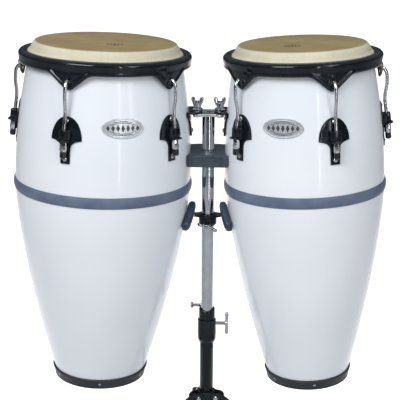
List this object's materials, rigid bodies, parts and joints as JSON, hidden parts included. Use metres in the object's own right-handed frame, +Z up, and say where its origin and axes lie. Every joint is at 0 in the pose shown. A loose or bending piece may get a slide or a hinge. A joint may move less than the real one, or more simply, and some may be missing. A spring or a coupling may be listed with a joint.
{
  "type": "conga drums",
  "caption": "Pair of barrel-shaped hand drums with hide heads and tension rims, hung side by side on a height-adjustable tube with a folding tripod.",
  "frame": {"origin": "on the floor, under the middle of the bounding box", "axes": "+Z up; +X from the 11 inch drum to the 10 inch drum; -Y towards the player"},
  "size_m": [0.7782, 0.5844, 0.9562],
  "materials": {
    "lacquer": "high-gloss white lacquer over fibreglass",
    "hide": "natural rawhide, matt, mottled",
    "black_paint": "gloss black powder coat",
    "chrome": "polished chrome plate",
    "grey_rubber": "matt blue-grey rubber",
    "black_rubber": "matt black rubber"
  },
  "bodies": {
    "base": {"lower_tube": "black_paint", "height_collar": "black_paint"},
    "post": {"upper_tube": "chrome"},
    "top": {"top_plate": "chrome", "cushion_block": "grey_rubber"},
    "yoke": {"bumper_yoke": "black_paint", "bumper_11": "grey_rubber", "bumper_10": "grey_rubber"},
    "hub": {"leg_hub": "black_paint"},
    "leg_1": {"leg_1": "black_paint"},
    "brace_1": {"brace_1": "black_paint"},
    "leg_2": {"leg_2": "black_paint"},
    "brace_2": {"brace_2": "black_paint"},
    "leg_3": {"leg_3": "black_paint"},
    "brace_3": {"brace_3": "black_paint"},
    "height_screw": {"height_screw": "chrome"},
    "pinch_screw": {"pinch_screw": "chrome"},
    "plate_wing_11": {"plate_wing_11": "chrome"},
    "plate_wing_10": {"plate_wing_10": "chrome"},
    "yoke_wing": {"yoke_wing": "chrome"},
    "drum_11": {"shell_11": "lacquer", "head_11": "hide", "base_ring_11": "black_rubber", "mount_bracket_11": "black_paint", "lug_11_1": "black_paint", "lug_11_2": "black_paint", "lug_11_3": "black_paint", "lug_11_4": "black_paint", "lug_11_5": "black_paint"},
    "tension_11": {"rim_11": "black_paint", "hook_11_1": "chrome", "hook_11_2": "chrome", "hook_11_3": "chrome", "hook_11_4": "chrome", "hook_11_5": "chrome"},
    "nut_11_1": {"nut_11_1": "chrome"},
    "nut_11_2": {"nut_11_2": "chrome"},
    "nut_11_3": {"nut_11_3": "chrome"},
    "nut_11_4": {"nut_11_4": "chrome"},
    "nut_11_5": {"nut_11_5": "chrome"},
    "drum_10": {"shell_10": "lacquer", "head_10": "hide", "base_ring_10": "black_rubber", "mount_bracket_10": "black_paint", "lug_10_1": "black_paint", "lug_10_2": "black_paint", "lug_10_3": "black_paint", "lug_10_4": "black_paint", "lug_10_5": "black_paint"},
    "tension_10": {"rim_10": "black_paint", "hook_10_1": "chrome", "hook_10_2": "chrome", "hook_10_3": "chrome", "hook_10_4": "chrome", "hook_10_5": "chrome"},
    "nut_10_1": {"nut_10_1": "chrome"},
    "nut_10_2": {"nut_10_2": "chrome"},
    "nut_10_3": {"nut_10_3": "chrome"},
    "nut_10_4": {"nut_10_4": "chrome"},
    "nut_10_5": {"nut_10_5": "chrome"}
  },
  "joints": [
    {"name": "tripod_fold", "type": "slide", "parent": "base", "child": "hub", "axis": [0, 0, 1], "range_m": [0, 0.10173]},
    {"name": "leg_1_hinge", "type": "hinge", "parent": "hub", "child": "leg_1", "pos_m": [0.04225, -0.08497, 0.185], "axis": [0.4226, 0.9063, 0], "range_deg": [0, 50]},
    {"name": "brace_1_hinge", "type": "hinge", "parent": "base", "child": "brace_1", "pos_m": [0.04225, -0.08497, 0.09111], "axis": [-0.4226, -0.9063, 0], "range_deg": [0, 50]},
    {"name": "leg_2_hinge", "type": "hinge", "parent": "hub", "child": "leg_2", "pos_m": [0.01443, -0.04525, 0.185], "axis": [-0.9962, -0.0872, 0], "range_deg": [0, 50]},
    {"name": "brace_2_hinge", "type": "hinge", "parent": "base", "child": "brace_2", "pos_m": [0.01443, -0.04525, 0.09111], "axis": [0.9962, 0.0872, 0], "range_deg": [0, 50]},
    {"name": "leg_3_hinge", "type": "hinge", "parent": "hub", "child": "leg_3", "pos_m": [-0.00606, -0.0892, 0.185], "axis": [0.5736, -0.8192, 0], "range_deg": [0, 50]},
    {"name": "brace_3_hinge", "type": "hinge", "parent": "base", "child": "brace_3", "pos_m": [-0.00606, -0.0892, 0.09111], "axis": [-0.5736, 0.8192, 0], "range_deg": [0, 50]},
    {"name": "height_slide", "type": "slide", "parent": "base", "child": "post", "axis": [0, 0, 1], "range_m": [-0.08, 0.12]},
    {"name": "top_swivel", "type": "hinge", "parent": "post", "child": "top", "pos_m": [0.01687, -0.07314, 0], "axis": [0, 0, 1], "continuous": true},
    {"name": "height_screw_turn", "type": "hinge", "parent": "base", "child": "height_screw", "pos_m": [0.01687, -0.07314, 0.351], "axis": [1, 0, 0], "continuous": true},
    {"name": "pinch_screw_turn", "type": "hinge", "parent": "base", "child": "pinch_screw", "pos_m": [0.01687, -0.05164, 0.383], "axis": [-1, 0, 0], "continuous": true},
    {"name": "plate_wing_11_turn", "type": "hinge", "parent": "top", "child": "plate_wing_11", "pos_m": [-0.00563, -0.07314, 0.8136], "axis": [0, 0, 1], "continuous": true},
    {"name": "plate_wing_10_turn", "type": "hinge", "parent": "top", "child": "plate_wing_10", "pos_m": [0.03937, -0.07314, 0.8136], "axis": [0, 0, 1], "continuous": true},
    {"name": "yoke_slide", "type": "slide", "parent": "top", "child": "yoke", "axis": [0, 0, 1], "range_m": [-0.08, 0]},
    {"name": "yoke_wing_turn", "type": "hinge", "parent": "yoke", "child": "yoke_wing", "pos_m": [0.01687, -0.09774, 0.575], "axis": [0, -1, 0], "continuous": true},
    {"name": "drum_11_slide", "type": "slide", "parent": "top", "child": "drum_11", "axis": [-1, 0, 0], "range_m": [0, 0.06]},
    {"name": "tension_11_slide", "type": "slide", "parent": "drum_11", "child": "tension_11", "axis": [0.0366, 0, 0.9993], "range_m": [0, 0.005]},
    {"name": "nut_11_1_turn", "type": "hinge", "parent": "drum_11", "child": "nut_11_1", "pos_m": [-0.04488, 0.0349, 0.77572], "axis": [-0.0484, -0.0617, 0.9969], "range_deg": [-1445, 0]},
    {"name": "nut_11_2_turn", "type": "hinge", "parent": "drum_11", "child": "nut_11_2", "pos_m": [-0.25025, 0.10168, 0.78326], "axis": [0.0689, -0.0999, 0.9926], "range_deg": [-1445, 0]},
    {"name": "nut_11_3_turn", "type": "hinge", "parent": "drum_11", "child": "nut_11_3", "pos_m": [-0.37718, -0.07314, 0.78791], "axis": [0.1414, 0, 0.99], "range_deg": [-1445, 0]},
    {"name": "nut_11_4_turn", "type": "hinge", "parent": "drum_11", "child": "nut_11_4", "pos_m": [-0.25025, -0.24796, 0.78326], "axis": [0.0689, 0.0999, 0.9926], "range_deg": [-1445, 0]},
    {"name": "nut_11_5_turn", "type": "hinge", "parent": "drum_11", "child": "nut_11_5", "pos_m": [-0.04488, -0.18118, 0.77572], "axis": [-0.0484, 0.0617, 0.9969], "range_deg": [-1445, 0]},
    {"name": "drum_10_slide", "type": "slide", "parent": "top", "child": "drum_10", "axis": [1, 0, 0], "range_m": [0, 0.06]},
    {"name": "tension_10_slide", "type": "slide", "parent": "drum_10", "child": "tension_10", "axis": [-0.0471, 0, 0.9989], "range_m": [0, 0.005]},
    {"name": "nut_10_1_turn", "type": "hinge", "parent": "drum_10", "child": "nut_10_1", "pos_m": [0.07325, -0.172, 0.77582], "axis": [0.0292, 0.0553, 0.998], "range_deg": [-1445, 0]},
    {"name": "nut_10_2_turn", "type": "hinge", "parent": "drum_10", "child": "nut_10_2", "pos_m": [0.26109, -0.23311, 0.78468], "axis": [-0.076, 0.0895, 0.9931], "range_deg": [-1445, 0]},
    {"name": "nut_10_3_turn", "type": "hinge", "parent": "drum_10", "child": "nut_10_3", "pos_m": [0.37718, -0.07314, 0.79015], "axis": [-0.1409, 0, 0.99], "range_deg": [-1445, 0]},
    {"name": "nut_10_4_turn", "type": "hinge", "parent": "drum_10", "child": "nut_10_4", "pos_m": [0.26109, 0.08682, 0.78468], "axis": [-0.076, -0.0895, 0.9931], "range_deg": [-1445, 0]},
    {"name": "nut_10_5_turn", "type": "hinge", "parent": "drum_10", "child": "nut_10_5", "pos_m": [0.07325, 0.02572, 0.77582], "axis": [0.0292, -0.0553, 0.998], "range_deg": [-1445, 0]}
  ],
  "couplings": [
    {"joint": "leg_1_hinge", "follows": "tripod_fold", "rad_per_m": 8.578},
    {"joint": "brace_1_hinge", "follows": "tripod_fold", "rad_per_m": 8.578},
    {"joint": "leg_2_hinge", "follows": "tripod_fold", "rad_per_m": 8.578},
    {"joint": "brace_2_hinge", "follows": "tripod_fold", "rad_per_m": 8.578},
    {"joint": "leg_3_hinge", "follows": "tripod_fold", "rad_per_m": 8.578},
    {"joint": "brace_3_hinge", "follows": "tripod_fold", "rad_per_m": 8.578},
    {"joint": "nut_11_1_turn", "follows": "tension_11_slide", "rad_per_m": -5026.5},
    {"joint": "nut_11_2_turn", "follows": "tension_11_slide", "rad_per_m": -5026.5},
    {"joint": "nut_11_3_turn", "follows": "tension_11_slide", "rad_per_m": -5026.5},
    {"joint": "nut_11_4_turn", "follows": "tension_11_slide", "rad_per_m": -5026.5},
    {"joint": "nut_11_5_turn", "follows": "tension_11_slide", "rad_per_m": -5026.5},
    {"joint": "nut_10_1_turn", "follows": "tension_10_slide", "rad_per_m": -5026.5},
    {"joint": "nut_10_2_turn", "follows": "tension_10_slide", "rad_per_m": -5026.5},
    {"joint": "nut_10_3_turn", "follows": "tension_10_slide", "rad_per_m": -5026.5},
    {"joint": "nut_10_4_turn", "follows": "tension_10_slide", "rad_per_m": -5026.5},
    {"joint": "nut_10_5_turn", "follows": "tension_10_slide", "rad_per_m": -5026.5}
  ]
}
